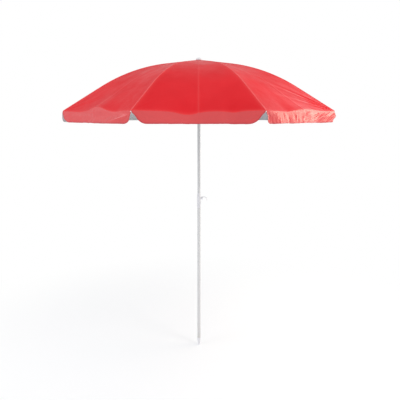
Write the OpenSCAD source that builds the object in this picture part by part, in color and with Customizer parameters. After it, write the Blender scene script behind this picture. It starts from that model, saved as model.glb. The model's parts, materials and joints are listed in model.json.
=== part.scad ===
// Beach umbrella: two-part steel pole on a ground spike, eight folding ribs and a sewn canopy with a valance.
// Millimetres, +Z up, origin at the tip of the ground spike, pole on the Z axis.

/* [Pole] */
// Outer diameter of the lower tube
lower_d = 22; // [20:0.5:26]
// Outer diameter of the upper tube, which slides in the lower one
upper_d = 19; // [17:0.5:19.4]
// Wall thickness of both tubes
tube_wall = 1.2; // [0.8:0.1:1.2]
// Height of the lower tube's top end
lower_top = 1005; // [990:1:1010]
// Height of the upper tube's bottom end
upper_bottom = 820; // [700:1:900]
// Length of the ground spike below the lower tube
spike_len = 50; // [40:1:80]

/* [Joint collar] */
// Height of the collar's lower end
collar_bottom = 962; // [955:1:970]
// Height of the collar's upper end
collar_top = 1062; // [1055:1:1068]
// Outer diameter at the collar's widest place
collar_d = 25.6; // [25:0.2:27]
// Height of the clamping screw
screw_z = 1028; // [1024:1:1032]
// Diameter of the clamping screw's shank
screw_d = 6; // [5:0.5:6]
// Distance of the bag hook's outer end from the pole's axis
hook_reach = 52; // [46:1:54]

/* [Frame] */
// Height of the rib pivots in the top notch
crown_z = 1886; // [1880:1:1900]
// Radius of the pivot rings in the notch and in the runner
pivot_r = 20; // [19:0.5:21]
// Height of a rib's section
rib_d = 4; // [3.6:0.2:4]
// Width of a rib's section
rib_w = 4.4; // [4:0.1:4.4]
// Length of the straight inner end of a rib
rib_inner_len = 190; // [170:1:210]
// Slope of a rib's inner end, in degrees
rib_inner_slope = 8; // [6:0.5:9]
// Slope of a rib's outer end, in degrees
rib_outer_slope = 32; // [30:0.5:34]
// Radius of the bend between the two ends
rib_bend_r = 1020; // [980:5:1060]
// Length of the straight outer end of a rib
rib_outer_len = 257; // [240:1:270]
// Place of the strut clip on the bend, in degrees from its inner end
clip_turn = 10.2; // [9:0.1:11]
// Drop of the strut's rivet below the rib
clip_drop = 12; // [11:0.5:13]
// Width of a strut
strut_w = 5; // [4.6:0.1:5.4]

/* [Canopy] */
// Thickness of the canopy's plain sheets
cloth_t = 1; // [0.8:0.1:1.2]
// Height of the sheets above the rib's centre line
cloth_lift = 4; // [4:0.1:5]
// Height of a valance flap
valance_h = 53; // [45:1:60]
// Radius of a valance flap's lower corners
valance_corner = 52; // [30:1:53]
// Diameter of the top cap
cap_d = 38; // [30:1:44]

/* [Hidden] */
$fn = 48;

rib_n = 8;
rib_step = 360 / rib_n;
half_step = rib_step / 2;
play = 0.3;
slide_play = 0.2;

// A point on a rib's plane, [radius, height], and its slope, along the rib's centre line.
bend_start = [
    pivot_r + rib_inner_len * cos(rib_inner_slope),
    crown_z - rib_inner_len * sin(rib_inner_slope)
];
bend_centre = bend_start - rib_bend_r * [sin(rib_inner_slope), cos(rib_inner_slope)];
function on_bend(slope, lift = 0) = bend_centre + (rib_bend_r + lift) * [sin(slope), cos(slope)];
bend_end = on_bend(rib_outer_slope);
rib_end = bend_end + rib_outer_len * [cos(rib_outer_slope), -sin(rib_outer_slope)];

// The strut's rivet below the rib, and the linkage, whose crank and strut have one length.
clip_slope = rib_inner_slope + clip_turn;
clip_on_rib = on_bend(clip_slope);
rivet = on_bend(clip_slope, -clip_drop);
crank = rivet - [pivot_r, crown_z];
strut_len = norm(crank);
runner_z = crown_z + 2 * crank[1];
strut_rise = atan2(-crank[1], crank[0]);

// Pivot ring, eyes and slots, alike at the notch and at the runner.
ring_wire_r = 1;
eye_r = 4;
eye_t = 4;
eye_hole_r = 1.3;
crown_r = 24;
slot_w = 5;
slot_in = pivot_r - eye_r - 1.5;

// Rib: steps along its bend, and the peg in the tip's socket.
bend_steps = 12;
tip_socket = 12;
peg_r = 1.6;

// Strut clip and rivet.
tab_t = 2;
rivet_r = 1.5;
ear_t = 1.2;
ear_in = tab_t / 2 + play;
rivet_head_in = ear_in + ear_t + play;

// Catch spring in the upper tube.
catch_pivot = [5.5, runner_z - 78];
catch_nose_low = runner_z - 56;
catch_nose_top = runner_z - 34;
catch_w = 3.5;

upper_r = upper_d / 2;
lower_r = lower_d / 2;
upper_in = upper_r - tube_wall;
lower_in = lower_r - tube_wall;
neck_r = lower_r - 0.4;
neck_z = collar_bottom - 2;

notch_top = crown_z + 6;
notch_bottom = crown_z - 13;
rosette_z = notch_top + 0.4;
rosette_r = 32;
cap_z = rosette_z + cloth_t + 0.2;

steel_white = [0.86, 0.87, 0.88];
plastic_white = [0.92, 0.92, 0.95];
zinc = [0.72, 0.73, 0.75];
cloth_red = [0.86, 0.12, 0.15];
valance_red = [0.82, 0.25, 0.28];

// Turns a shape drawn in the XZ plane, thick along Y, to the plane of rib i.
module in_rib_plane(i) {
    rotate([0, 0, half_step + (i - 1) * rib_step]) children();
}

// A plate drawn in X and Z, centred on Y.
module plate(thick) {
    rotate([90, 0, 0]) translate([0, 0, -thick / 2]) linear_extrude(height = thick) children();
}

// A round bar across the rib's plane.
module cross_bar(at, r, len) {
    translate([at[0], 0, at[1]]) rotate([90, 0, 0]) cylinder(h = len, r = r, center = true);
}

// A round bar in the rib's plane, from a point along a slope that falls outward.
module sloped_bar(at, slope, len, r) {
    translate([at[0], 0, at[1]]) rotate([0, 90 + slope, 0]) cylinder(h = len, r = r);
}

module tube(r_out, r_in, low, high) {
    translate([0, 0, low]) difference() {
        cylinder(h = high - low, r = r_out, $fn = 96);
        translate([0, 0, -1]) cylinder(h = high - low + 2, r = r_in, $fn = 96);
    }
}

// The top end is drawn in a little, and the collar is pressed onto that neck.
module lower_tube() {
    color(steel_white) difference() {
        union() {
            translate([0, 0, spike_len]) cylinder(h = neck_z - spike_len, r = lower_r, $fn = 96);
            translate([0, 0, spike_len]) cylinder(h = lower_top - spike_len, r = neck_r, $fn = 96);
        }
        translate([0, 0, spike_len - 1])
            cylinder(h = lower_top - spike_len + 2, r = lower_in, $fn = 96);
    }
}

module ground_spike() {
    tip_r = 5.6;
    shoulder_r = lower_r - 0.1;
    flank_r = 3.2 * spike_len;
    plug_len = 30;
    color(plastic_white) rotate_extrude($fn = 96) difference() {
        union() {
            intersection() {
                translate([shoulder_r - flank_r, spike_len - 4]) circle(r = flank_r, $fn = 360);
                translate([0, tip_r]) square([shoulder_r, spike_len - 4 - tip_r]);
            }
            translate([0, tip_r]) intersection() {
                circle(r = tip_r);
                translate([0, -tip_r]) square(2 * tip_r);
            }
            translate([0, spike_len - 4]) square([shoulder_r, 4]);
            translate([0, spike_len - 1]) square([lower_in, plug_len]);
        }
        translate([0, spike_len - 10]) square([3, plug_len + 20]);
    }
}

module joint_collar() {
    wide_r = collar_d / 2;
    wide_z = screw_z - 2;
    step_z = lower_top;
    bore_r = upper_r + slide_play;
    boss_reach = 17;
    color(plastic_white) difference() {
        union() {
            translate([0, 0, collar_bottom])
                cylinder(h = wide_z - collar_bottom, r1 = lower_r + 0.8, r2 = wide_r, $fn = 96);
            translate([0, 0, wide_z])
                cylinder(h = 12, r1 = wide_r, r2 = wide_r - 0.8, $fn = 96);
            translate([0, 0, wide_z + 12])
                cylinder(h = collar_top - wide_z - 12, r1 = wide_r - 0.8, r2 = upper_r + 1.1, $fn = 96);
            translate([upper_r + 1, 0, screw_z]) rotate([0, 90, 0])
                cylinder(h = boss_reach - upper_r - 1, r = 7);
        }
        translate([0, 0, collar_bottom - 1]) cylinder(h = step_z - collar_bottom + 1, r = neck_r, $fn = 96);
        translate([0, 0, collar_bottom - 1]) cylinder(h = collar_top - collar_bottom + 2, r = bore_r, $fn = 96);
        translate([0, 0, screw_z]) rotate([0, 90, 0]) cylinder(h = boss_reach + 1, r = screw_d / 2 + play);
    }
}

module hook_screw() {
    wire_r = 2.4;
    head_in = 17.5;
    head_t = 6;
    arm_z = 7;
    bend_r = 19;
    bend_x = hook_reach - bend_r;
    end_drop = 1.5;
    stub_drop = 11;
    color(plastic_white) translate([0, 0, screw_z]) union() {
        translate([upper_r + 0.5, 0, 0]) rotate([0, 90, 0])
            cylinder(h = head_in - upper_r - 0.5 + 1, r = screw_d / 2);
        translate([head_in, 0, 0]) rotate([0, 90, 0]) cylinder(h = head_t, r = 6.6);
        translate([head_in + head_t, 0, 0]) rotate([0, 90, 0]) cylinder(h = 2, r1 = 6.6, r2 = 4);
        translate([head_in + wire_r, 0, arm_z]) rotate([0, 90, 0])
            cylinder(h = bend_x - head_in - wire_r, r = wire_r);
        translate([bend_x, 0, arm_z - bend_r]) rotate([90, 0, 0])
            rotate_extrude(angle = 90, $fn = 96) translate([bend_r, 0]) circle(r = wire_r);
        translate([hook_reach, 0, arm_z - bend_r - end_drop]) cylinder(h = end_drop, r = wire_r);
        translate([hook_reach, 0, arm_z - bend_r - end_drop]) sphere(r = wire_r);
        translate([head_in + wire_r, 0, -stub_drop]) cylinder(h = stub_drop, r = wire_r);
        translate([head_in + wire_r, 0, -stub_drop]) sphere(r = wire_r);
    }
}

module upper_tube() {
    slot_high = catch_nose_top + 3;
    slot_low = catch_nose_low - 4;
    color(steel_white) union() {
        difference() {
            tube(upper_r, upper_in, upper_bottom, notch_bottom + 10);
            translate([upper_in / 2, -catch_w / 2 - 0.5, slot_low])
                cube([upper_r, catch_w + 1, slot_high - slot_low]);
        }
        intersection() {
            cross_bar(catch_pivot, 1, upper_d);
            translate([0, 0, catch_pivot[1] - 5]) cylinder(h = 10, r = upper_r - 0.4, $fn = 96);
        }
    }
}

module catch_spring() {
    leaf_x = catch_pivot[0] + 1.1;
    leaf_t = 0.8;
    nose_x = upper_r + 2.8;
    color(zinc) difference() {
        union() {
            plate(catch_w) polygon([
                [leaf_x, catch_pivot[1]],
                [leaf_x + leaf_t, catch_pivot[1]],
                [leaf_x + leaf_t, catch_nose_low],
                [nose_x, catch_nose_top - 4],
                [nose_x, catch_nose_top],
                [leaf_x, catch_nose_top]
            ]);
            cross_bar(catch_pivot, 2, catch_w);
        }
        cross_bar(catch_pivot, 1.15, catch_w + 2);
    }
}

// The groove of a pivot ring.
module ring_groove(z) {
    translate([0, 0, z]) rotate_extrude($fn = 96) translate([pivot_r, 0]) circle(r = ring_wire_r + 0.05);
}

module pivot_ring(z) {
    translate([0, 0, z]) rotate_extrude($fn = 96) translate([pivot_r, 0]) circle(r = ring_wire_r);
}

// The eight slots that the eyes swing in.
module eye_slots(low, high) {
    for (i = [1:rib_n])
        in_rib_plane(i) translate([slot_in, -slot_w / 2, low]) cube([crown_r, slot_w, high - low]);
}

module top_notch() {
    bore_top = notch_bottom + 10;
    color(plastic_white) difference() {
        union() {
            translate([0, 0, notch_bottom]) cylinder(h = notch_top - notch_bottom, r = crown_r, $fn = 96);
            translate([0, 0, notch_bottom - 12]) cylinder(h = 13, r1 = upper_r + 1.2, r2 = slot_in, $fn = 96);
        }
        translate([0, 0, notch_bottom - 13]) cylinder(h = bore_top - notch_bottom + 13, r = upper_r, $fn = 96);
        translate([0, 0, notch_bottom]) cylinder(h = 40, r = 2.5);
        eye_slots(notch_bottom - 1, crown_z + eye_r + play);
        ring_groove(crown_z);
    }
}

module notch_ring() {
    color(zinc) pivot_ring(crown_z);
}

module canopy_rosette() {
    color(cloth_red) rotate_extrude($fn = 96) polygon([
        [2.6, rosette_z],
        [crown_r, rosette_z],
        [rosette_r, rosette_z - 1],
        [rosette_r, rosette_z - 1 + cloth_t],
        [crown_r, rosette_z + cloth_t],
        [2.6, rosette_z + cloth_t]
    ]);
}

module top_cap() {
    dome_h = 12;
    dome_r = (cap_d * cap_d / 4 + dome_h * dome_h) / (2 * dome_h);
    color(plastic_white) translate([0, 0, cap_z]) rotate_extrude($fn = 96) union() {
        square([cap_d / 2, 2]);
        translate([0, 2]) intersection() {
            translate([0, dome_h - dome_r]) circle(r = dome_r, $fn = 180);
            square([cap_d / 2, dome_h]);
        }
        translate([0, -16]) square([2.4, 17]);
    }
}

module runner() {
    sleeve_r = 14.5;
    sleeve_bottom = runner_z - 30;
    crown_low = runner_z - 7;
    crown_high = runner_z + 6;
    color(plastic_white) difference() {
        union() {
            translate([0, 0, sleeve_bottom]) cylinder(h = 3, r = sleeve_r + 2.5, $fn = 96);
            translate([0, 0, sleeve_bottom]) cylinder(h = crown_low - sleeve_bottom + 1, r = sleeve_r, $fn = 96);
            translate([0, 0, crown_low]) cylinder(h = crown_high - crown_low, r = crown_r, $fn = 96);
        }
        translate([0, 0, sleeve_bottom - 1]) cylinder(h = 60, r = upper_r + slide_play, $fn = 96);
        eye_slots(runner_z - eye_r - play, crown_high + 1);
        ring_groove(runner_z);
    }
}

module runner_ring() {
    color(zinc) pivot_ring(runner_z);
}

// A rib's line in its plane, at a height above its centre line, from one place along it to its socket.
function rib_line(lift, start) = concat(
    [[
        pivot_r + start * cos(rib_inner_slope) + lift * sin(rib_inner_slope),
        crown_z - start * sin(rib_inner_slope) + lift * cos(rib_inner_slope)
    ]],
    [
        for (k = [0:bend_steps])
            on_bend(rib_inner_slope + (rib_outer_slope - rib_inner_slope) * k / bend_steps, lift)
    ],
    [
        on_bend(rib_outer_slope, lift)
            + (rib_outer_len - tip_socket - 1) * [cos(rib_outer_slope), -sin(rib_outer_slope)]
    ]
);

// A bar that follows the rib's line between two heights.
module rib_bar(low, high, width, start) {
    under = rib_line(low, start);
    over = rib_line(high, start);
    plate(width) polygon(concat(under, [for (k = [len(over) - 1:-1:0]) over[k]]));
}

// A rib: its eye, a channel with one bend that is open below, the tip's peg, and the clip with the strut's rivet.
module rib(i) {
    clip_len = 16;
    clip_r = 3.4;
    wall = 0.9;
    color(zinc) in_rib_plane(i) difference() {
        union() {
            cross_bar([pivot_r, crown_z], eye_r, eye_t);
            rib_bar(-rib_d / 2, rib_d / 2, rib_w, 1);
            sloped_bar(rib_end - (tip_socket + 6) * [cos(rib_outer_slope), -sin(rib_outer_slope)],
                rib_outer_slope, tip_socket + 6, peg_r);
            translate([clip_on_rib[0], 0, clip_on_rib[1]]) rotate([0, 90 + clip_slope, 0])
                cylinder(h = clip_len, r = clip_r, center = true);
            translate([clip_on_rib[0], 0, clip_on_rib[1]]) rotate([0, clip_slope, 0])
                translate([-4, -tab_t / 2, -clip_drop]) cube([8, tab_t, clip_drop]);
            cross_bar(rivet, 4, tab_t);
            cross_bar(rivet, rivet_r, 2 * rivet_head_in + 0.2);
            for (side = [-1, 1])
                translate([rivet[0], side * (rivet_head_in + 0.5), rivet[1]]) rotate([90, 0, 0])
                    cylinder(h = 1, r = 2.8, center = true);
        }
        difference() {
            rib_bar(-rib_d, rib_d / 2 - wall, rib_w - 2 * wall, 14);
            translate([clip_on_rib[0], 0, clip_on_rib[1]]) rotate([0, 90 + clip_slope, 0])
                cylinder(h = clip_len + 2, r = clip_r + clip_drop, center = true);
            sloped_bar(rib_end - (tip_socket + 8) * [cos(rib_outer_slope), -sin(rib_outer_slope)],
                rib_outer_slope, tip_socket + 9, rib_w);
        }
        cross_bar([pivot_r, crown_z], eye_hole_r, eye_t + 2);
    }
}

module rib_tip(i) {
    tip_r = 3.4;
    color(plastic_white) in_rib_plane(i) translate([rib_end[0], 0, rib_end[1]])
        rotate([0, 90 + rib_outer_slope, 0]) difference() {
            union() {
                translate([0, 0, -tip_socket]) cylinder(h = tip_socket + 1, r1 = 2.8, r2 = tip_r);
                translate([0, 0, 1]) sphere(r = tip_r);
            }
            translate([0, 0, -tip_socket - 1]) cylinder(h = tip_socket + 1, r = peg_r);
        }
}

// A strut: a channel, open upward, with an eye on the runner's ring and two ears at the rivet.
module strut(i) {
    h = 5;
    wall = ear_t;
    neck_len = 9;
    channel_end = strut_len - 8;
    color(steel_white) in_rib_plane(i) translate([pivot_r, 0, runner_z])
        rotate([0, -strut_rise, 0]) difference() {
            union() {
                difference() {
                    translate([neck_len, -strut_w / 2, -h / 2])
                        cube([channel_end - neck_len, strut_w, h]);
                    translate([neck_len + 8, -strut_w / 2 + wall, -h / 2 + wall])
                        cube([channel_end, strut_w - 2 * wall, h]);
                }
                cross_bar([0, 0], eye_r, eye_t);
                translate([0, -eye_t / 2, -h / 2]) cube([neck_len + 2, eye_t, h]);
                for (side = [-1, 1]) {
                    translate([channel_end - 2, side * (ear_in + wall / 2) - wall / 2, -h / 2])
                        cube([10, wall, h]);
                    translate([strut_len, side * (ear_in + wall / 2), 0]) rotate([90, 0, 0])
                        cylinder(h = wall, r = 3.4, center = true);
                }
            }
            cross_bar([0, 0], eye_hole_r, eye_t + 2);
            cross_bar([strut_len, 0], rivet_r + slide_play, strut_w + 4);
        }
}

// Points of the canopy's cross-section in a gore's middle plane, at a height above the rib's line.
function cloth_line(lift) = concat(
    [[
        (pivot_r + 7) * cos(half_step),
        crown_z - 7 * tan(rib_inner_slope) + lift / cos(rib_inner_slope)
    ]],
    [
        for (k = [0:bend_steps])
            let (p = on_bend(rib_inner_slope + (rib_outer_slope - rib_inner_slope) * k / bend_steps, lift))
                [p[0] * cos(half_step), p[1]]
    ],
    [[
        (rib_end[0] + lift * sin(rib_outer_slope)) * cos(half_step),
        rib_end[1] + lift * cos(rib_outer_slope)
    ]]
);

// Half of a gore, from its middle to rib i on one side: side 1 lies beyond rib i, side -1 before it.
module half_gore(i, side) {
    seam_gap = 0.6;
    middle_gap = 0.2;
    low = cloth_line(cloth_lift);
    high = cloth_line(cloth_lift + cloth_t);
    reach = rib_end[0] + 20;
    color(cloth_red) in_rib_plane(i) rotate([0, 0, side * half_step]) intersection() {
        plate(2 * reach) polygon(concat(low, [for (k = [len(high) - 1:-1:0]) high[k]]));
        translate([0, 0, rib_end[1] - 50]) linear_extrude(height = 500) polygon([
            [10, -side * middle_gap],
            [reach, -side * middle_gap],
            [reach, -side * (reach * tan(half_step) - seam_gap)],
            [10, -side * (10 * tan(half_step) - seam_gap)]
        ]);
    }
}

// A valance flap between rib i and the next one, with round lower corners.
module valance(i) {
    top_z = rib_end[1] - 6;
    half_w = rib_end[0] * sin(half_step) - 2;
    color(valance_red) in_rib_plane(i) rotate([0, 0, half_step])
        translate([rib_end[0] * cos(half_step), 0, top_z]) rotate([90, 0, 90])
            linear_extrude(height = cloth_t) intersection() {
                translate([-half_w, -valance_h]) square([2 * half_w, valance_h]);
                union() {
                    translate([-half_w, valance_corner - valance_h])
                        square([2 * half_w, valance_corner]);
                    translate([-half_w + valance_corner, -valance_h])
                        square([2 * (half_w - valance_corner), valance_h]);
                    for (side = [-1, 1])
                        translate([side * (half_w - valance_corner), valance_corner - valance_h])
                            circle(r = valance_corner, $fn = 96);
                }
            }
}

lower_tube();
ground_spike();
joint_collar();
hook_screw();
upper_tube();
top_notch();
notch_ring();
canopy_rosette();
top_cap();
catch_spring();
runner();
runner_ring();
for (i = [1:rib_n]) {
    rib(i);
    rib_tip(i);
    strut(i);
    half_gore(i, 1);
    half_gore(i % rib_n + 1, -1);
    valance(i);
}
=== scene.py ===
"""Looks of a beach umbrella: red nylon canopy with a hanging valance, on a white two-part pole."""
import json
import math

import bpy
import numpy as np
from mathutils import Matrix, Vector, noise


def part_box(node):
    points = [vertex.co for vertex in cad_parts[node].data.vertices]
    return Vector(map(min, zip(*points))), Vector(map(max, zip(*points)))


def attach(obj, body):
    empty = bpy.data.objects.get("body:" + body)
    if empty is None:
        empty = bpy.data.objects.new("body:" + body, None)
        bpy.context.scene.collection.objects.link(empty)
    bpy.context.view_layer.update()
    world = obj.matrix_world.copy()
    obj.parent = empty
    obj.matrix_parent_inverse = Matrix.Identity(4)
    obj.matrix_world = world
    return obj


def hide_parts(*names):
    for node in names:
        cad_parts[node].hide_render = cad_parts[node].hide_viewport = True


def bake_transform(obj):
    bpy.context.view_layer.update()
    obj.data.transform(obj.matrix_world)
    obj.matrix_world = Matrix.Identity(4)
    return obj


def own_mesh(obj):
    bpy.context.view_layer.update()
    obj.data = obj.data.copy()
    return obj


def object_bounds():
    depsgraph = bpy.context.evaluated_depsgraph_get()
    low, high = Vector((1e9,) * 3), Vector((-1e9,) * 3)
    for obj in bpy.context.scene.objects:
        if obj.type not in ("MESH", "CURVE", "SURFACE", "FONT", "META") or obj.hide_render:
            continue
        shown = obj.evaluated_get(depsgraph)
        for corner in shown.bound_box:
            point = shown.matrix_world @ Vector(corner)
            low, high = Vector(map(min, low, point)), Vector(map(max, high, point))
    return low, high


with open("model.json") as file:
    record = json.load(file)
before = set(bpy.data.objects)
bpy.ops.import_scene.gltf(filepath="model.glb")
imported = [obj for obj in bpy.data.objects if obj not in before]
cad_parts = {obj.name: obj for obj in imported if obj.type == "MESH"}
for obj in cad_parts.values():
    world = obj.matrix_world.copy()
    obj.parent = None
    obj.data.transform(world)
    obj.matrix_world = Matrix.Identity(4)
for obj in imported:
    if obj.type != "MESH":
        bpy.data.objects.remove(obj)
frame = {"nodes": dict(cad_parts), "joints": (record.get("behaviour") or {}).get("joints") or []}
cad_box = [list(map(float, corner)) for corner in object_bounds()]
nodes = frame["nodes"]
joints = {j["name"]: j for j in frame["joints"]}

# --- Sizes taken from the frame -------------------------------------------------------------
RIBS = 8
STEP = 2 * math.pi / RIBS
HALF = STEP / 2
pivot = Vector(joints["canopy_fold"]["pos_m"])
PIVOT_R = pivot.xy.length
PIVOT_Z = pivot.z
hinge = Vector(joints["valance_1_hang"]["pos_m"])
RIB_END_R = hinge.xy.length
RIB_END_Z = hinge.z
VALANCE_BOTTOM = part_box("valance_1")[0].z

# The rib's line as the CAD has it: straight, a bend, straight.
INNER_SLOPE = math.radians(8)
OUTER_SLOPE = math.radians(32)
INNER_LENGTH = 0.190
BEND_RADIUS = 1.020
BEND_LENGTH = BEND_RADIUS * (OUTER_SLOPE - INNER_SLOPE)
OUTER_LENGTH = 0.257
RIB_LENGTH = INNER_LENGTH + BEND_LENGTH + OUTER_LENGTH

CLOTH_LIFT = 0.0045        # middle of the cloth above the rib's line
CLOTH = 0.0006             # thickness of the cloth
HEM = 0.009                # width of a folded hem
HEM_EXTRA = 0.0007         # extra thickness there
CROWN_START = 0.007        # the gores begin this far along the ribs


def rib_point(length, lift):
    """Distance from the axis and height of a point this far along a rib and above its line, and the slope."""
    if length <= INNER_LENGTH:
        slope = INNER_SLOPE
        r = PIVOT_R + length * math.cos(slope)
        z = PIVOT_Z - length * math.sin(slope)
    else:
        bend = min(length - INNER_LENGTH, BEND_LENGTH)
        slope = INNER_SLOPE + bend / BEND_RADIUS
        r = PIVOT_R + INNER_LENGTH * math.cos(INNER_SLOPE)
        r += BEND_RADIUS * (math.sin(slope) - math.sin(INNER_SLOPE))
        z = PIVOT_Z - INNER_LENGTH * math.sin(INNER_SLOPE)
        z -= BEND_RADIUS * (math.cos(INNER_SLOPE) - math.cos(slope))
        rest = max(0.0, length - INNER_LENGTH - BEND_LENGTH)
        r += rest * math.cos(slope)
        z -= rest * math.sin(slope)
    return r + lift * math.sin(slope), z + lift * math.cos(slope), slope


def along(azimuth):
    """The level directions away from the axis and round it, at an azimuth."""
    out = np.array([math.cos(azimuth), math.sin(azimuth), 0.0])
    round_it = np.array([-math.sin(azimuth), math.cos(azimuth), 0.0])
    return out, round_it


def leaning(out, slope):
    """The upward direction square to a slope that falls this way."""
    normal = out * math.sin(slope)
    normal[2] = math.cos(slope)
    return normal


def smooth(x):
    """0 below 0, 1 above 1, and a smooth step between them."""
    x = min(1.0, max(0.0, x))
    return x * x * (3 - 2 * x)


def wobble(x, y, seed):
    """Smooth noise from -1 to 1 at a place on the cloth."""
    return noise.noise(Vector((x, y, 7.31 * seed + 0.5)))


# --- Mesh helpers ---------------------------------------------------------------------------
def grid_normals(points, outward):
    """Unit normals of a grid of points, on the side that faces outward."""
    across = np.gradient(points, axis=1)
    down = np.gradient(points, axis=0)
    normals = np.cross(across, down)
    normals /= np.linalg.norm(normals, axis=2, keepdims=True) + 1e-12
    if (normals * outward).sum() < 0:
        normals = -normals
    return normals


def cloth_mesh(name, points, normals, thickness, uv, edge, materials):
    """A closed thin sheet on a grid of points: the first material outside, the second inside."""
    rows, cols = points.shape[:2]
    half = thickness[..., None] / 2
    outer = (points + normals * half).reshape(-1, 3)
    inner = (points - normals * half).reshape(-1, 3)
    layers = np.concatenate([outer, inner])
    count = rows * cols
    index = np.arange(count).reshape(rows, cols)
    corners = [index[:-1, :-1], index[:-1, 1:], index[1:, 1:], index[1:, :-1]]
    quads = np.stack(corners, axis=-1).reshape(-1, 4)
    a, b, d = points[0, 0], points[0, 1], points[1, 0]
    if np.dot(np.cross(b - a, d - a), normals[0, 0]) < 0:
        quads = quads[:, ::-1]
    ring = np.concatenate([index[0, :-1], index[:-1, -1], index[-1, :0:-1], index[:0:-1, 0]])
    after = np.roll(ring, -1)
    rim = np.stack([ring, after, after + count, ring + count], axis=-1)
    p0, p1, p3 = layers[rim[0][0]], layers[rim[0][1]], layers[rim[0][3]]
    inside = points[rows // 2, cols // 2]
    if np.dot(np.cross(p1 - p0, p3 - p0), p0 - inside) < 0:
        rim = rim[:, ::-1]
    faces = np.concatenate([quads, quads[:, [0, 3, 2, 1]] + count, rim])
    mesh = bpy.data.meshes.new(name)
    mesh.from_pydata(layers.tolist(), [], faces.tolist())
    for material in materials:
        mesh.materials.append(material)
    which = np.zeros(len(faces), np.int32)
    which[len(quads):2 * len(quads)] = len(materials) - 1
    mesh.polygons.foreach_set("material_index", which)
    mesh.polygons.foreach_set("use_smooth", np.arange(len(faces)) < 2 * len(quads))
    corner = faces.ravel()
    flat_uv = np.concatenate([uv.reshape(-1, 2), uv.reshape(-1, 2)])
    layer = mesh.uv_layers.new(name="UVMap")
    layer.data.foreach_set("uv", flat_uv[corner].astype(np.float32).ravel())
    near = mesh.attributes.new("near_edge", "FLOAT", "POINT")
    near.data.foreach_set("value", np.concatenate([edge.ravel(), edge.ravel()]).astype(np.float32))
    # Smooth normals on both faces of the cloth, flat ones on its cut edge.
    both = np.concatenate([normals.reshape(-1, 3), -normals.reshape(-1, 3)])[corner]
    side = np.cross(layers[rim[:, 1]] - layers[rim[:, 0]], layers[rim[:, 3]] - layers[rim[:, 0]])
    side /= np.linalg.norm(side, axis=1, keepdims=True) + 1e-12
    both[8 * len(quads):] = np.repeat(side, 4, axis=0)
    mesh.normals_split_custom_set(both.tolist())
    mesh.validate(clean_customdata=False)
    mesh.update()
    piece = bpy.data.objects.new(name, mesh)
    bpy.context.scene.collection.objects.link(piece)
    return piece


# --- Materials ------------------------------------------------------------------------------
WAVE_UNIT = math.pi / 10   # period of a Wave texture at scale 1
MIX_A = 6                  # the two colour sockets of a Mix node
MIX_B = 7
WEAVE_PITCH = 0.0009       # distance between two threads of the nylon
WEAVE_DEPTH = 0.00006
PUCKER_PITCH = 0.011       # distance between two puckers beside the stitching
PUCKER_DEPTH = 0.0012
CREASE_DEPTH = 0.006
DUST = (0.52, 0.45, 0.36)
DUST_LOW = 0.02            # the dust is full below this height
DUST_HIGH = 0.22           # and gone above this one
RUST = (0.36, 0.34, 0.31)


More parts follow.
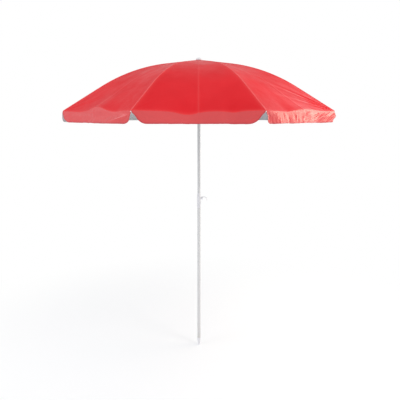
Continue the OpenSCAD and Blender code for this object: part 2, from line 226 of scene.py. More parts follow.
class Paint:
    """A procedural material built round one Principled shader."""

    def __init__(self, name, rough, metal=0.0, specular=0.5, sheen=0.0, sheen_tint=(1, 1, 1), coat=0.0,
                 coat_rough=0.2):
        self.material = bpy.data.materials.new(name)
        self.material.use_nodes = True
        self.tree = self.material.node_tree
        self.shader = self.tree.nodes["Principled BSDF"]
        self.set("Roughness", rough)
        self.set("Metallic", metal)
        self.set("Specular IOR Level", specular)
        self.set("Sheen Weight", sheen)
        self.set("Sheen Roughness", 0.35)
        self.set("Sheen Tint", (*sheen_tint, 1))
        self.set("Coat Weight", coat)
        self.set("Coat Roughness", coat_rough)
        self.bumps = None

    def set(self, socket, value):
        self.shader.inputs[socket].default_value = value

    def link(self, out, into):
        self.tree.links.new(out, into)

    def node(self, kind, **settings):
        made = self.tree.nodes.new(kind)
        for key, value in settings.items():
            setattr(made, key, value)
        return made

    def feed(self, socket, value):
        if hasattr(value, "is_output"):
            self.link(value, socket)
        else:
            socket.default_value = value

    def math(self, operation, a, b=0.0, clamp=False):
        made = self.node("ShaderNodeMath", operation=operation, use_clamp=clamp)
        self.feed(made.inputs[0], a)
        self.feed(made.inputs[1], b)
        return made.outputs[0]

    def place(self, kind="Object", scale=(1, 1, 1)):
        where = self.node("ShaderNodeTexCoord").outputs[kind]
        mapping = self.node("ShaderNodeMapping")
        mapping.inputs["Scale"].default_value = scale
        self.link(where, mapping.inputs["Vector"])
        return mapping.outputs["Vector"]

    def noise(self, where, scale, detail=3.0, rough=0.5, distortion=0.0):
        made = self.node("ShaderNodeTexNoise")
        self.link(where, made.inputs["Vector"])
        made.inputs["Scale"].default_value = scale
        made.inputs["Detail"].default_value = detail
        made.inputs["Roughness"].default_value = rough
        made.inputs["Distortion"].default_value = distortion
        return made.outputs[0]

    def bands(self, where, period, direction="X"):
        """Stripes from 0 to 1 with this period in metres."""
        made = self.node("ShaderNodeTexWave", wave_type="BANDS", wave_profile="SIN",
                         bands_direction=direction)
        self.link(where, made.inputs["Vector"])
        made.inputs["Scale"].default_value = WAVE_UNIT / period
        return made.outputs["Fac"]

    def attribute(self, name):
        return self.node("ShaderNodeAttribute", attribute_name=name).outputs["Fac"]

    def spread(self, value, low, high, to_low, to_high):
        made = self.node("ShaderNodeMapRange")
        for name, number in (("From Min", low), ("From Max", high), ("To Min", to_low), ("To Max", to_high)):
            made.inputs[name].default_value = number
        self.link(value, made.inputs["Value"])
        return made.outputs["Result"]

    def mix(self, factor, a, b):
        made = self.node("ShaderNodeMix", data_type="RGBA")
        self.feed(made.inputs[0], factor)
        self.feed(made.inputs[MIX_A], a if hasattr(a, "is_output") else (*a, 1))
        self.feed(made.inputs[MIX_B], b if hasattr(b, "is_output") else (*b, 1))
        return made.outputs[2]

    def colour(self, value):
        self.link(value, self.shader.inputs["Base Color"])

    def roughness(self, value):
        self.link(value, self.shader.inputs["Roughness"])

    def bump(self, height, strength, distance):
        made = self.node("ShaderNodeBump")
        made.inputs["Strength"].default_value = strength
        made.inputs["Distance"].default_value = distance
        self.link(height, made.inputs["Height"])
        if self.bumps is not None:
            self.link(self.bumps, made.inputs["Normal"])
        self.bumps = made.outputs["Normal"]
        self.link(self.bumps, self.shader.inputs["Normal"])


def fabric(name, deep, light, edge_colour, rough, crinkle, specular, coat=0.0, metal=0.0):
    """Coated plain-weave nylon: threads, small creases, uneven dye, and puckers beside the stitching."""
    p = Paint(name, rough, metal=metal, specular=specular, coat=coat, coat_rough=0.28)
    cloth = p.place("UV")
    space = p.place("Object")
    dye = p.noise(space, 3.0, 4.0, 0.55, 0.4)
    body = p.mix(p.spread(dye, 0.3, 0.7, 0.0, 1.0), deep, light)
    slub = p.noise(p.place("UV", (900, 40, 1)), 1.0, 2.0)
    body = p.mix(p.spread(slub, 0.35, 0.75, 0.0, 0.22), body, deep)
    # Near sewn edges the colour moves up to halfway to edge_colour. The lighter red on the canopy and seam
    # tape is a painted highlight, the darker red on the valance is painted shade, and the lining gets a
    # lighter grey.
    near = p.attribute("near_edge")
    p.colour(p.mix(p.math("MULTIPLY", near, 0.5), body, edge_colour))
    p.roughness(p.spread(p.noise(space, 14.0, 3.0), 0.3, 0.7, rough - 0.06, rough + 0.07))
    creases = p.noise(p.place("UV", (1, 0.6, 1)), 26.0, 4.0, 0.6, 1.4)
    p.bump(creases, crinkle, CREASE_DEPTH)
    pucker = p.bands(cloth, PUCKER_PITCH, "Y")
    p.bump(p.math("MULTIPLY", pucker, near), 0.35, PUCKER_DEPTH)
    weave = p.math("MAXIMUM", p.bands(cloth, WEAVE_PITCH, "X"), p.bands(cloth, WEAVE_PITCH, "Y"))
    p.bump(weave, 0.25, WEAVE_DEPTH)
    return p.material


# Canopy: the edge colour (0.82, 0.11, 0.11) is a painted highlight along the rib seams, the hem, the fold
# down each gore's middle and the rim of the patch under the cap.
canopy_red = fabric("canopy_nylon", (0.63, 0.014, 0.021), (0.73, 0.022, 0.030), (0.82, 0.11, 0.11),
                    rough=0.36, crinkle=0.10, specular=0.05)
# Seam tape: a lighter, pinker red than the canopy's nylon, a painted highlight along the seams.
seam_red_painted_highlight = fabric("seam_nylon_painted_highlight", (0.72, 0.050, 0.058), (0.80, 0.070, 0.080), (0.82, 0.10, 0.11),
                  rough=0.40, crinkle=0.20, specular=0.25)
# Valance: the canopy's same nylon given a pinker, lighter red, a painted sheen. Its edge colour (0.30, 0.008,
# 0.020) is a painted shade along its sides and hem.
valance_red_painted_light = fabric("valance_nylon_painted_light", (0.60, 0.050, 0.056), (0.70, 0.066, 0.072), (0.30, 0.008, 0.020),
                     rough=0.34, crinkle=0.28, specular=0.50, coat=0.10)
silver_inside = fabric("silver_lining", (0.42, 0.43, 0.45), (0.51, 0.52, 0.54), (0.58, 0.58, 0.60),
                       rough=0.48, crinkle=0.20, specular=0.4, metal=0.15)


def thread_material():
    """Red sewing thread with fine fibres."""
    p = Paint("sewing_thread", 0.55, sheen=0.3, sheen_tint=(1, 0.7, 0.7))
    where = p.place("Object")
    fibres = p.noise(where, 900.0, 2.0)
    p.colour(p.mix(p.spread(fibres, 0.3, 0.7, 0.0, 1.0), (0.72, 0.10, 0.11), (0.85, 0.20, 0.20)))
    p.bump(fibres, 0.3, 0.0002)
    return p.material


def painted(name, base, rough, dusty):
    """Powder-coated steel: orange peel, faint handling marks, dust towards the ground."""
    p = Paint(name, rough, specular=0.5, coat=0.25, coat_rough=0.16)
    where = p.place("Object")
    marks = p.noise(p.place("Object", (1, 1, 0.18)), 42.0, 5.0, 0.65)
    worn = [c * 0.86 for c in base]
    colour = p.mix(p.spread(marks, 0.52, 0.78, 0.0, 0.55), base, worn)
    split = p.node("ShaderNodeSeparateXYZ")
    p.link(where, split.inputs[0])
    low = p.spread(split.outputs["Z"], DUST_LOW, DUST_HIGH, 1.0, 0.0)
    specks = p.spread(p.noise(where, 160.0, 4.0, 0.7), 0.46, 0.66, 0.0, 1.0)
    dust = p.math("MULTIPLY", p.math("MULTIPLY", low, specks), dusty)
    p.colour(p.mix(dust, colour, DUST))
    p.roughness(p.spread(marks, 0.3, 0.75, rough - 0.05, rough + 0.14))
    p.bump(p.noise(where, 520.0, 2.0), 0.10, 0.0003)
    return p.material


def steel(name, base, rough, grain=(1, 1, 1)):
    """Zinc-plated or bright steel with a drawn grain and small stains."""
    p = Paint(name, rough, metal=1.0)
    where = p.place("Object")
    drawn = p.noise(p.place("Object", grain), 60.0, 3.0, 0.6)
    stains = p.noise(where, 38.0, 5.0, 0.6)
    colour = p.mix(p.spread(drawn, 0.3, 0.7, 0.0, 1.0), base, [c * 0.82 for c in base])
    p.colour(p.mix(p.spread(stains, 0.56, 0.74, 0.0, 0.5), colour, RUST))
    p.roughness(p.spread(stains, 0.3, 0.7, rough - 0.05, rough + 0.12))
    p.bump(drawn, 0.12, 0.0002)
    return p.material


def plastic(name, base, rough, shade):
    """Moulded plastic: a fine spark-eroded grain and slight mottling."""
    p = Paint(name, rough, specular=0.45)
    where = p.place("Object")
    mottle = p.noise(where, 30.0, 4.0)
    p.colour(p.mix(p.spread(mottle, 0.35, 0.7, 0.0, 1.0), base, shade))
    p.roughness(p.spread(p.noise(where, 70.0, 3.0), 0.3, 0.7, rough - 0.06, rough + 0.08))
    p.bump(p.noise(where, 1400.0, 2.0), 0.12, 0.0002)
    return p.material


thread = thread_material()
tube_paint = painted("pole_paint", (0.63, 0.635, 0.65), 0.32, 0.55)
strut_paint = painted("strut_paint", (0.74, 0.75, 0.78), 0.34, 0.0)
rib_steel = steel("rib_zinc", (0.60, 0.61, 0.63), 0.36)
ring_steel = steel("ring_wire_zinc", (0.58, 0.59, 0.61), 0.30)
spring_steel = steel("spring_bright", (0.55, 0.56, 0.58), 0.24, grain=(1, 1, 0.1))
white_plastic = plastic("white_moulding", (0.74, 0.74, 0.78), 0.38, (0.68, 0.68, 0.72))
hook_plastic = plastic("hook_moulding", (0.78, 0.78, 0.82), 0.34, (0.71, 0.71, 0.76))

# The material of each CAD node: the first beginning of a name that fits is taken.
NODE_PAINT = (
    ("lower_tube", tube_paint), ("upper_tube", tube_paint), ("ground_spike", white_plastic),
    ("joint_collar", white_plastic), ("hook_screw", hook_plastic), ("top_notch", white_plastic),
    ("notch_ring", ring_steel), ("canopy_rosette", canopy_red), ("top_cap", white_plastic),
    ("catch_spring", spring_steel), ("runner_ring", ring_steel), ("runner", white_plastic),
    ("rib_tip", white_plastic), ("rib", rib_steel), ("strut", strut_paint), ("gore", canopy_red),
    ("valance", valance_red_painted_light),
)
for node_name, node in nodes.items():
    finish = next(m for prefix, m in NODE_PAINT if node_name.startswith(prefix))
    for slot in node.material_slots:
        slot.material = finish


# --- The canopy's cloth ---------------------------------------------------------------------
HELD = 0.018               # distance from a rib over which the cloth comes free of it
SADDLE = 0.007             # how far stretched cloth pulls in between two ribs
HEM_DROOP = 0.006          # the hem's usual droop in the middle
HEM_FADE = 0.075           # distance up a gore over which its hem's shape fades out
RIPPLE_SEEN = 0.0009       # unevenness of the three gores that the photo shows
RIPPLE_OTHER = 0.0022      # and of the other five
CROWN_PLEAT = 0.0009       # height of the small pleats near the apex
CROWN_FADE = 0.14
FOLD_HALF = 0.004          # half width of the fold line down a gore's middle
FOLD_HEIGHT = 0.0007
FOLD_AT_HEM = 0.0012       # extra height at the hem
FOLD_FRONT = 0.0030        # and at the hem of the front gore
FOLD_FADE = 0.035
TENSION = 0.0012           # height of the wrinkles round a rib's tip
TENSION_FLAT = 0.0004      # on the two gores that look flat in the photo
TENSION_TAUT = 0.0046      # at rib 8, the right tip in the photo
TENSION_START = 0.05
TENSION_FADE = 0.15
FRONT = 6                  # the gore that faces the viewer
LIT_SIDE = 7               # the gore right of it
LEFT_SIDE = 5              # the gore left of it
GORE_COLS = 44             # columns of a half gore
EDGE_FADE = 0.007          # distance over which the look of a sewn edge fades out
FLAP_ROWS = 40
FLAP_COLS = 56             # columns of a half flap
FLAP_CROWDING = 0.88       # below 1, the columns crowd towards the flap's ends
FLAP_BOTTOM = 1.5          # the turn, of a quarter circle, from which a row counts as the bottom edge
ROOT_FLARE = 0.005         # outward flare in the middle of a flap
CORNER_SLANT = 0.012       # how far a valance's side steps in just below the hem
CORNER_ROUND = 0.050       # width over which its lower corner is rounded
CORNER_POWER = 2.0         # 2 rounds the corner as an ellipse, more leaves it squarer
GORE_LENGTHS = np.concatenate([
    np.linspace(CROWN_START, RIB_LENGTH - 0.012, 96),
    np.linspace(RIB_LENGTH - 0.0105, RIB_LENGTH, 8),
])
HEM_R, HEM_Z = rib_point(RIB_LENGTH, CLOTH_LIFT)[:2]
HEM_HALF = HEM_R * math.sin(HALF)
VALANCE_H = HEM_Z - VALANCE_BOTTOM

# Where the hem hangs lower, or higher where the depth is negative: middle (-1 to 1), width and depth.
SEEN_HEMS = {
    5: ((0.12, 0.24, -0.025), (-0.66, 0.22, 0.004), (0.62, 0.16, 0.005)),
    6: ((-0.17, 0.20, 0.016), (0.53, 0.12, 0.009)),
    7: ((0.10, 0.42, -0.014), (-0.45, 0.12, 0.003)),
}
# Flap ends that differ from the usual cut, by gore and side: slant, round, power and outward flare.
FLAP_ENDS = {
    (5, -1): (0.004, 0.060, 2.0, 0.013),
    (5, 1): (0.012, 0.062, 2.4, -0.009),
    (6, -1): (0.014, 0.056, 1.8, 0.006),
    (6, 1): (0.014, 0.062, 1.8, 0.006),
    (7, -1): (0.020, 0.024, 3.2, -0.006),
    (7, 1): (0.003, 0.028, 2.4, 0.010),
    (8, -1): (0.016, 0.075, 1.8, 0.002),
}
USUAL_FLARE = 0.012
# Waves of the flaps: height, waves along the hem, their slant, waves down the flap, number of the noise.
BROAD_WAVE = (0.0045, 3.4, 0, 0.4, 50)
CRINKLES = ((0.0016, 9, 2.5, 1.6, 60), (0.0006, 21, -3, 4, 70))
FINE_CRINKLES = ((0.0016, 26, 0, 1.2, 60), (0.0009, 48, 0, 3, 65))
SLANTED_FOLDS = ((0.0095, 5.0, 2.4, 0.9, 70), (0.0042, 11, 5, 2, 75))


def middle_azimuth(k):
    return STEP * k


def rib_azimuth(k):
    return STEP * k - HALF


def hem_hollows(k):
    """Places where the hem hangs lower: middle, width, depth."""
    if k in SEEN_HEMS:
        return SEEN_HEMS[k]
    found = []
    for n in range(3):
        middle = -0.62 + 0.6 * n + 0.16 * wobble(3.1 * k, 1.7 * n, 4)
        width = 0.15 + 0.07 * abs(wobble(1.3 * k, 2.9 * n, 5))
        depth = 0.007 + 0.010 * wobble(2.3 * k, 5.3 * n, 6)
        found.append((middle, width, max(0.001, depth)))
    return found


def hem_drop(k, u):
    """How far the hem hangs below the line between its two tips."""
    slack = max(0.0, 1 - u * u)
    drop = HEM_DROOP * slack
    for middle, width, depth in hem_hollows(k):
        drop += depth * slack * math.exp(-((u - middle) / width) ** 2)
    return drop


def tension(k, length, from_rib, side):
    """Wrinkles that fan out from a rib's tip."""
    up = RIB_LENGTH - length
    reach = math.hypot(from_rib, up)
    angle = math.atan2(from_rib, up + 1e-9)
    rib = k + (1 if side > 0 else 0)
    taut = rib % RIBS == 0
    strength = TENSION_TAUT if taut else (TENSION_FLAT if k in (FRONT, LIT_SIDE) else TENSION)
    fade = smooth(reach / TENSION_START) * math.exp(-reach / TENSION_FADE)
    wave = math.sin((16 if taut else 13) * angle + 2.1 * k + 4 * wobble(4 * angle, 2.2 * rib, 11))
    level = math.sin(angle) * math.cos(angle) * 2
    return strength * fade * wave * level


def cloth_point(k, length, u):
    """A point of gore k: length along the ribs, u from -1 at rib k to 1 at the next one."""
    r, z, slope = rib_point(length, CLOTH_LIFT)
    out, round_it = along(middle_azimuth(k))
    width = r * math.sin(HALF)
    point = out * (r * math.cos(HALF)) + round_it * (u * width)
    point[2] = z
    s = length / RIB_LENGTH
    slack = max(0.0, 1 - u * u)
    from_rib = (1 - abs(u)) * width
    held = 1 - math.exp(-from_rib / HELD)
    shift = -SADDLE * slack * math.sin(math.pi * s ** 0.85)
    ripple = RIPPLE_SEEN if k in SEEN_HEMS else RIPPLE_OTHER
    shift += held * ripple * wobble(u * width * 7, length * 3.2, k)
    shift += held * ripple * 0.45 * wobble(u * width * 24, length * 7, k + 20)
    shift += held * CROWN_PLEAT * math.exp(-length / CROWN_FADE) * math.cos(math.pi * 5 * u)
    for side in (-1, 1):
        near = (1 - side * u) * width
        shift += held * tension(k, length, near, side)
    fold = math.exp(-(u * width / FOLD_HALF) ** 2)
    at_hem = FOLD_FRONT if k == FRONT else FOLD_AT_HEM
    shift += fold * (FOLD_HEIGHT + at_hem * math.exp(-(RIB_LENGTH - length) / FOLD_FADE))
    drop = hem_drop(k, u) * math.exp(-(RIB_LENGTH - length) / HEM_FADE)
    point = point + leaning(out, slope) * shift
    point[2] -= drop
    return point


def gore_grid(k):
    """The whole gore k as a grid, from the crown down to the hem."""
    us = np.linspace(-1, 1, 2 * GORE_COLS + 1)
    points = np.array([[cloth_point(k, length, u) for u in us] for length in GORE_LENGTHS])
    outward = along(middle_azimuth(k))[0] * 0.3 + np.array([0, 0, 1.0])
    normals = grid_normals(points, outward)
    uv = np.zeros(points.shape[:2] + (2,))
    edge = np.zeros(points.shape[:2])
    thick = np.full(points.shape[:2], CLOTH)
    for i, length in enumerate(GORE_LENGTHS):
        width = rib_point(length, CLOTH_LIFT)[0] * math.sin(HALF)
        from_rib = (1 - np.abs(us)) * width
        from_hem = RIB_LENGTH - length
        uv[i, :, 0] = us * width
        uv[i, :, 1] = length
        # near_edge on the gore is 1 at the ribs and the hem and 0.45 on the fold down the middle. There the
        # canopy's lighter edge colour paints a highlight.
        edge[i] = np.maximum(np.exp(-from_rib / EDGE_FADE), math.exp(-from_hem / EDGE_FADE))
        edge[i] = np.maximum(edge[i], 0.45 * np.exp(-np.abs(us * width) / 0.003))
        thick[i] += HEM_EXTRA * smooth((HEM - from_hem) / 0.002)
    return us, points, normals, thick, uv, edge


def waves(layers, k, u, v):
    """The sum of some layers of noise on flap k."""
    total = 0.0
    for height, across, slant, down, seed in layers:
        total += height * wobble(across * u + slant * v, down * v, k + seed)
    return total


def flap_wave(k, u, v):
    """How far a flap's cloth stands off its plane: broad waves, crinkles, and the folds of the side flaps."""
    if k == LIT_SIDE:
        folded = smooth((u + 0.1) / 0.3)
        wave = waves((BROAD_WAVE,), k, u, v) + (1 - folded) * waves(FINE_CRINKLES, k, u, v)
        return wave + folded * waves(SLANTED_FOLDS, k, u, v)
    wave = waves((BROAD_WAVE, *CRINKLES), k, u, v)
    if k == LEFT_SIDE:
        kick = smooth((u + v - 0.9) / 0.5) * (1 - 0.7 * smooth((u - 0.6) / 0.4))
        wave += 0.013 * kick - 0.010 * smooth((1.0 - u - v) / 0.5) * v
        wave += 0.004 * math.exp(-((u - 0.15) / 0.22) ** 2) * (1 - v)
    return wave


def valance_grid(k):
    """The flap below gore k: its top edge is the gore's hem, its lower corners are round."""
    us = np.linspace(-1, 1, 2 * FLAP_COLS + 1)
    us = np.sign(us) * np.abs(us) ** FLAP_CROWDING
    turns = np.linspace(0, math.pi / 2, FLAP_ROWS)
    out, round_it = along(middle_azimuth(k))
    points = np.zeros((FLAP_ROWS, len(us), 3))
    uv = np.zeros((FLAP_ROWS, len(us), 2))
    edge = np.zeros((FLAP_ROWS, len(us)))
    thick = np.full((FLAP_ROWS, len(us)), CLOTH)
    usual = (CORNER_SLANT, CORNER_ROUND, CORNER_POWER, USUAL_FLARE)
    for i, turn in enumerate(turns):
        v = min(1.0, math.sin(turn))
        for j, u in enumerate(us):
            slant, corner, power, flared = FLAP_ENDS.get((k, 1 if u > 0 else -1), usual)
            rounded = 1 - (1 - v ** power) ** (1 / power)
            half = HEM_HALF - slant * smooth(v / 0.45) - corner * rounded
            x = u * half
            top = cloth_point(k, RIB_LENGTH, u)
            z = HEM_Z - VALANCE_H * v - hem_drop(k, u) * (1 - v) ** 1.3
            # The first row lies exactly on the gore's hem.
            z += (top[2] - HEM_Z + hem_drop(k, u)) * (1 - v) ** 2
            z -= 0.0016 * v * wobble(6 * u, 0.3, k + 40)
            free = smooth(v * 2.2)
            flare = ROOT_FLARE + (flared - ROOT_FLARE) * smooth(abs(u) * 3 - 2)
            level = np.dot(top, out) + free * flap_wave(k, u, v) + flare * math.sin(math.pi * 0.62 * v)
            points[i, j] = out * level + round_it * x
            points[i, j, 2] = z
            # Distance to the nearest edge, shortened where the side slants into the round corner.
            steep = math.cos(turn) / math.hypot(math.cos(turn), 0.2 + corner / VALANCE_H * v)
            rim = min((1 - abs(u)) * half * steep, VALANCE_H * (1 - v)) if turn < FLAP_BOTTOM else 0.0
            uv[i, j] = (x, -VALANCE_H * v)
            # On the flap this darkens the sides and the bottom hem: painted shade.
            edge[i, j] = math.exp(-(max(0.0, rim) / 0.0055) ** 2)
            thick[i, j] += HEM_EXTRA * smooth((HEM - rim) / 0.002)
    normals = grid_normals(points, out)
    return us, points, normals, thick, uv, edge


def half_of(grid, side):
    """The half of a grid beside the first rib (side -1) or the second one (side 1)."""
    us, points, normals, thick, uv, edge = grid
    middle = len(us) // 2
    part = slice(0, middle + 1) if side < 0 else slice(middle, len(us))
    return points[:, part], normals[:, part], thick[:, part], uv[:, part], edge[:, part]


GORE_AREA = sum(
    (rib_point(a, 0)[0] + rib_point(b, 0)[0]) / 2 * math.sin(HALF) * (b - a)
    for a, b in zip(GORE_LENGTHS[:-1], GORE_LENGTHS[1:])
)

for k in range(1, RIBS + 1):
    after = k % RIBS + 1
    gore = gore_grid(k)
    flap = valance_grid(k)
    for side, letter, rib in ((-1, "a", k), (1, "b", after)):
        points, normals, thick, uv, edge = half_of(gore, side)
        piece = cloth_mesh(f"canopy_gore_{k}_{letter}", points, normals, thick, uv, edge,
                           (canopy_red, silver_inside))
        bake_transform(piece)
        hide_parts(f"gore_{k}_{letter}")
        points, normals, thick, uv, edge = half_of(flap, side)
        hanging = cloth_mesh(f"valance_half_{k}_{letter}", points, normals, thick, uv, edge,
                             (valance_red_painted_light, silver_inside))
        tip = along(rib_azimuth(rib))[0] * RIB_END_R
        tip[2] = RIB_END_Z
        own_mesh(hanging)
        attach(hanging, f"valance_{rib}_body")
        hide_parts(f"valance_{rib}")


# --- Sewn seams over the ribs ---------------------------------------------------------------
SEAM_HALF = 0.0026         # half width of the tape over a rib
TAPE_PROFILE = ((-1, 0.0002), (-0.93, 0.0008), (-0.5, 0.0010), (0, 0.0011), (0.5, 0.0010), (0.93, 0.0008),
                (1, 0.0002))   # places across the tape, and its height there
TAPE_LIFT = 0.0002
TAPE_THICK = 0.0005
THREAD_LIFT = 0.0015
STITCH_ROW = 0.62          # place of a row of stitches, as a share of the tape's half width
SEAM_LENGTHS = np.linspace(CROWN_START + 0.001, RIB_LENGTH - 0.0005, 130)
STITCH = 0.0027            # length of a stitch
STITCH_PITCH = 0.0038
STITCH_R = 0.00028
LENS_FACES = ((0, 2, 4), (2, 1, 4), (1, 3, 4), (3, 0, 4), (2, 0, 5), (1, 2, 5), (3, 1, 5), (0, 3, 5))


def seam_point(k, length, across, lift):
    """A point on the cloth beside rib k, this far across it, lifted off the cloth."""
    gore = k if across >= 0 else (k - 2) % RIBS + 1
    width = rib_point(length, CLOTH_LIFT)[0] * math.sin(HALF)
    share = min(1.0, abs(across) / width)
    point = cloth_point(gore, length, -1 + share if across >= 0 else 1 - share)
    normal = leaning(along(rib_azimuth(k))[0], rib_point(length, 0)[2])
    return point + normal * lift


def seam(k):
    """The folded tape of cloth sewn down over rib k."""
    offsets = np.array([share for share, _ in TAPE_PROFILE]) * SEAM_HALF
    lifts = np.array([height for _, height in TAPE_PROFILE])
    points = np.array([[seam_point(k, length, x, TAPE_LIFT + h) for x, h in zip(offsets, lifts)]
                       for length in SEAM_LENGTHS])
    normals = grid_normals(points, along(rib_azimuth(k))[0] * 0.3 + np.array([0, 0, 1.0]))
    uv = np.zeros(points.shape[:2] + (2,))
    uv[..., 0] = offsets[None, :]
    uv[..., 1] = SEAM_LENGTHS[:, None]
    # The whole tape takes 40% of the lighter edge colour, which adds to its painted highlight.
    edge = np.full(points.shape[:2], 0.8)
    thick = np.full(points.shape[:2], TAPE_THICK)
    return cloth_mesh(f"seam_{k}", points, normals, thick, uv, edge, (seam_red_painted_highlight,))


def stitches(name, runs):
    """Short lens-shaped stitches: runs holds the two ends and the outward direction of each one."""
    verts, faces = [], []
    for a, b, normal in runs:
        run = b - a
        side = np.cross(run / np.linalg.norm(run), normal)
        middle = (a + b) / 2
        base = len(verts)
        verts += [a, b, middle + side * STITCH_R, middle - side * STITCH_R,
                  middle + normal * STITCH_R, middle - normal * STITCH_R]
        for p, q, r in LENS_FACES:
            faces.append((base + p, base + q, base + r))
    mesh = bpy.data.meshes.new(name)
    mesh.from_pydata([tuple(v) for v in verts], [], faces)
    mesh.materials.append(thread)
    mesh.polygons.foreach_set("use_smooth", np.ones(len(faces), bool))
    mesh.update()
    piece = bpy.data.objects.new(name, mesh)
    bpy.context.scene.collection.objects.link(piece)
    return piece


def seam_stitches(k):
    """The two rows of stitches down the tape over rib k."""
    runs = []
    for row in (-STITCH_ROW * SEAM_HALF, STITCH_ROW * SEAM_HALF):
        at = CROWN_START + 0.004
        while at + STITCH < RIB_LENGTH - 0.002:
            a = seam_point(k, at, row, THREAD_LIFT)
            b = seam_point(k, at + STITCH, row, THREAD_LIFT)
            runs.append((a, b, leaning(along(rib_azimuth(k))[0], rib_point(at, 0)[2])))
            at += STITCH_PITCH
    return stitches(f"seam_thread_{k}", runs)


for k in range(1, RIBS + 1):
    tape = seam(k)
    sewing = seam_stitches(k)
    for piece in (tape, sewing):
        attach(piece, f"rib_{k}_body")


# --- The round patch under the cap ----------------------------------------------------------
PATCH_RINGS = 26
PATCH_COLS = 161
PATCH_GAP = 0.0006         # gap to the pole, and below the top of the CAD's patch
PATCH_SCALLOP = 0.012
PATCH_PLEATS = 24
PLEAT_HEIGHT = 0.00035
PATCH_THICK = 0.0008


def round_patch():
    """A gathered round of cloth, sewn down over the place where the gores meet."""
    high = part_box("canopy_rosette")[1]
    outer = high.x
    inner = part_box("upper_tube")[1].y + PATCH_GAP
    rows, cols = PATCH_RINGS, PATCH_COLS
    points = np.zeros((rows, cols, 3))
    uv = np.zeros((rows, cols, 2))
    edge = np.zeros((rows, cols))
    for i in range(rows):
        share = i / (rows - 1)
        for j in range(cols):
            turn = 2 * math.pi * (j % (cols - 1)) / (cols - 1)
            r = inner + (outer - inner) * share
            r *= 1 + PATCH_SCALLOP * share * math.cos(RIBS * turn)
            out = along(turn)[0]
            pleat = PLEAT_HEIGHT * math.cos(PATCH_PLEATS * turn) * math.sin(math.pi * share)
            points[i, j] = out * r
            points[i, j, 2] = high.z - PATCH_GAP - (r - inner) * math.tan(INNER_SLOPE) + pleat
            uv[i, j] = (out[0] * r, out[1] * r)
            # A lighter red towards the rim, from the canopy's painted-highlight edge colour.
            edge[i, j] = math.exp(-(outer - r) / 0.003)
    normals = grid_normals(points, np.array([0, 0, 1.0]))
    normals[:, -1] = normals[:, 0] = (normals[:, 0] + normals[:, -1]) / 2
    thick = np.full((rows, cols), PATCH_THICK)
    return cloth_mesh("rosette_patch", points, normals, thick, uv, edge, (canopy_red,))


patch = round_patch()
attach(patch, "upper_pole")
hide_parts("canopy_rosette")


# --- Floor, light and camera ----------------------------------------------------------------
FLOOR_R = 14.0
FLOOR_GAP = 0.0005         # gap below the spike's tip
PALE = (0.925, 0.945, 0.98)
GLOW_FROM = 0.1            # the floor turns into plain white between these two distances
GLOW_TO = 2.2
DOME_R = 30.0
WORLD = 0.74               # strength of the light from all round
CANOPY_MIDDLE = (0, 0, 1.65)
# Name, place, diameter, power and colour of each lamp. All of them are aimed at the canopy's middle.
LAMPS = (
    ("key", (2.4, -1.9, 3.2), 1.4, 36, (1.0, 0.93, 0.84)),
    ("side", (2.9, 0.5, 1.9), 1.8, 42, (1.0, 0.84, 0.66)),
    ("fill", (-2.8, -1.4, 2.6), 2.0, 31, (1, 1, 1)),
    ("back", (2.0, 1.9, 2.7), 1.5, 6, (1, 1, 1)),
)
CAMERA_PLACE = (0.007, -2.969, 1.565)
CAMERA_PITCH = 10.51       # degrees below level
CAMERA_LENS = 41.68
CAMERA_SENSOR = 36.0
CAMERA_FAR = 100


def floor():
    """A pale floor that brightens into the background far from the object."""
    rings, spokes = 40, 96
    verts, faces = [(0, 0, 0)], []
    for i in range(1, rings + 1):
        r = FLOOR_R * (i / rings) ** 2
        for j in range(spokes):
            turn = 2 * math.pi * j / spokes
            verts.append((r * math.cos(turn), r * math.sin(turn), 0))
    for j in range(spokes):
        faces.append((0, 1 + j, 1 + (j + 1) % spokes))
    for i in range(rings - 1):
        for j in range(spokes):
            a = 1 + i * spokes + j
            b = 1 + i * spokes + (j + 1) % spokes
            faces.append((a, a + spokes, b + spokes, b))
    mesh = bpy.data.meshes.new("floor")
    mesh.from_pydata(verts, [], faces)
    piece = bpy.data.objects.new("floor", mesh)
    bpy.context.scene.collection.objects.link(piece)
    piece.location.z = cad_box[0][2] - FLOOR_GAP
    material = bpy.data.materials.new("pale_floor")
    material.use_nodes = True
    tree = material.node_tree
    shader = tree.nodes["Principled BSDF"]
    shader.inputs["Base Color"].default_value = (*PALE, 1)
    shader.inputs["Roughness"].default_value = 0.8
    shader.inputs["Specular IOR Level"].default_value = 0.1
    glow = tree.nodes.new("ShaderNodeEmission")
    glow.inputs["Color"].default_value = (1, 1, 1, 1)
    glow.inputs["Strength"].default_value = 1.0
    where = tree.nodes.new("ShaderNodeTexCoord")
    length = tree.nodes.new("ShaderNodeVectorMath")
    length.operation = "LENGTH"
    tree.links.new(where.outputs["Object"], length.inputs[0])
    ramp = tree.nodes.new("ShaderNodeMapRange")
    ramp.interpolation_type = "SMOOTHSTEP"
    ramp.inputs["From Min"].default_value = GLOW_FROM
    ramp.inputs["From Max"].default_value = GLOW_TO
    tree.links.new(length.outputs["Value"], ramp.inputs["Value"])
    mix = tree.nodes.new("ShaderNodeMixShader")
    tree.links.new(ramp.outputs["Result"], mix.inputs[0])
    tree.links.new(shader.outputs[0], mix.inputs[1])
    tree.links.new(glow.outputs[0], mix.inputs[2])
    clear = tree.nodes.new("ShaderNodeBsdfTransparent")
    facing = tree.nodes.new("ShaderNodeNewGeometry")
    under = tree.nodes.new("ShaderNodeMixShader")
    tree.links.new(facing.outputs["Backfacing"], under.inputs[0])
    tree.links.new(mix.outputs[0], under.inputs[1])
    tree.links.new(clear.outputs[0], under.inputs[2])
    tree.links.new(under.outputs[0], tree.nodes["Material Output"].inputs["Surface"])
    mesh.materials.append(material)


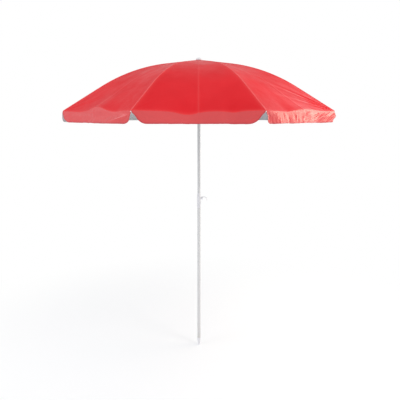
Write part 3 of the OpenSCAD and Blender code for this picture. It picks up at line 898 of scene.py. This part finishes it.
def area_light(name, place, size, power, colour):
    """A round lamp that is aimed at the middle of the canopy."""
    light = bpy.data.lights.new(name, "AREA")
    light.shape = "DISK"
    light.size = size
    light.energy = power
    light.color = colour
    lamp = bpy.data.objects.new(name, light)
    lamp.location = place
    lamp.rotation_euler = (Vector(CANOPY_MIDDLE) - Vector(place)).to_track_quat("-Z", "Y").to_euler()
    bpy.context.scene.collection.objects.link(lamp)


def dome():
    """A white surround that only the camera sees, so the background stays white above softer light."""
    mesh = bpy.data.meshes.new("surround")
    rings, spokes = 24, 48
    verts = [(0, 0, -DOME_R), (0, 0, DOME_R)]
    for i in range(1, rings):
        tilt = math.pi * i / rings - math.pi / 2
        for j in range(spokes):
            turn = 2 * math.pi * j / spokes
            level = DOME_R * math.cos(tilt)
            verts.append((level * math.cos(turn), level * math.sin(turn), DOME_R * math.sin(tilt)))
    faces = [(0, 2 + (j + 1) % spokes, 2 + j) for j in range(spokes)]
    last = 2 + (rings - 2) * spokes
    faces += [(1, last + j, last + (j + 1) % spokes) for j in range(spokes)]
    for i in range(rings - 2):
        for j in range(spokes):
            a, b = 2 + i * spokes + j, 2 + i * spokes + (j + 1) % spokes
            faces.append((a, b, b + spokes, a + spokes))
    mesh.from_pydata(verts, [], faces)
    piece = bpy.data.objects.new("surround", mesh)
    bpy.context.scene.collection.objects.link(piece)
    material = bpy.data.materials.new("white_surround")
    material.use_nodes = True
    tree = material.node_tree
    glow = tree.nodes.new("ShaderNodeEmission")
    glow.inputs["Strength"].default_value = 1.0
    tree.links.new(glow.outputs[0], tree.nodes["Material Output"].inputs["Surface"])
    mesh.materials.append(material)
    piece.visible_diffuse = False
    piece.visible_glossy = False
    piece.visible_transmission = False
    piece.visible_shadow = False


world = bpy.data.worlds.new("studio")
bpy.context.scene.world = world
world.use_nodes = True
world.node_tree.nodes["Background"].inputs["Color"].default_value = (1, 1, 1, 1)
world.node_tree.nodes["Background"].inputs["Strength"].default_value = WORLD
floor()
dome()
for lamp_settings in LAMPS:
    area_light(*lamp_settings)

camera_data = bpy.data.cameras.new("camera")
camera_data.lens = CAMERA_LENS
camera_data.sensor_width = CAMERA_SENSOR
camera_data.clip_end = CAMERA_FAR
camera = bpy.data.objects.new("camera", camera_data)
camera.location = CAMERA_PLACE
camera.rotation_euler = (math.radians(90 - CAMERA_PITCH), 0, 0)
bpy.context.scene.collection.objects.link(camera)
bpy.context.scene.camera = camera
bpy.context.scene.view_settings.view_transform = "Standard"
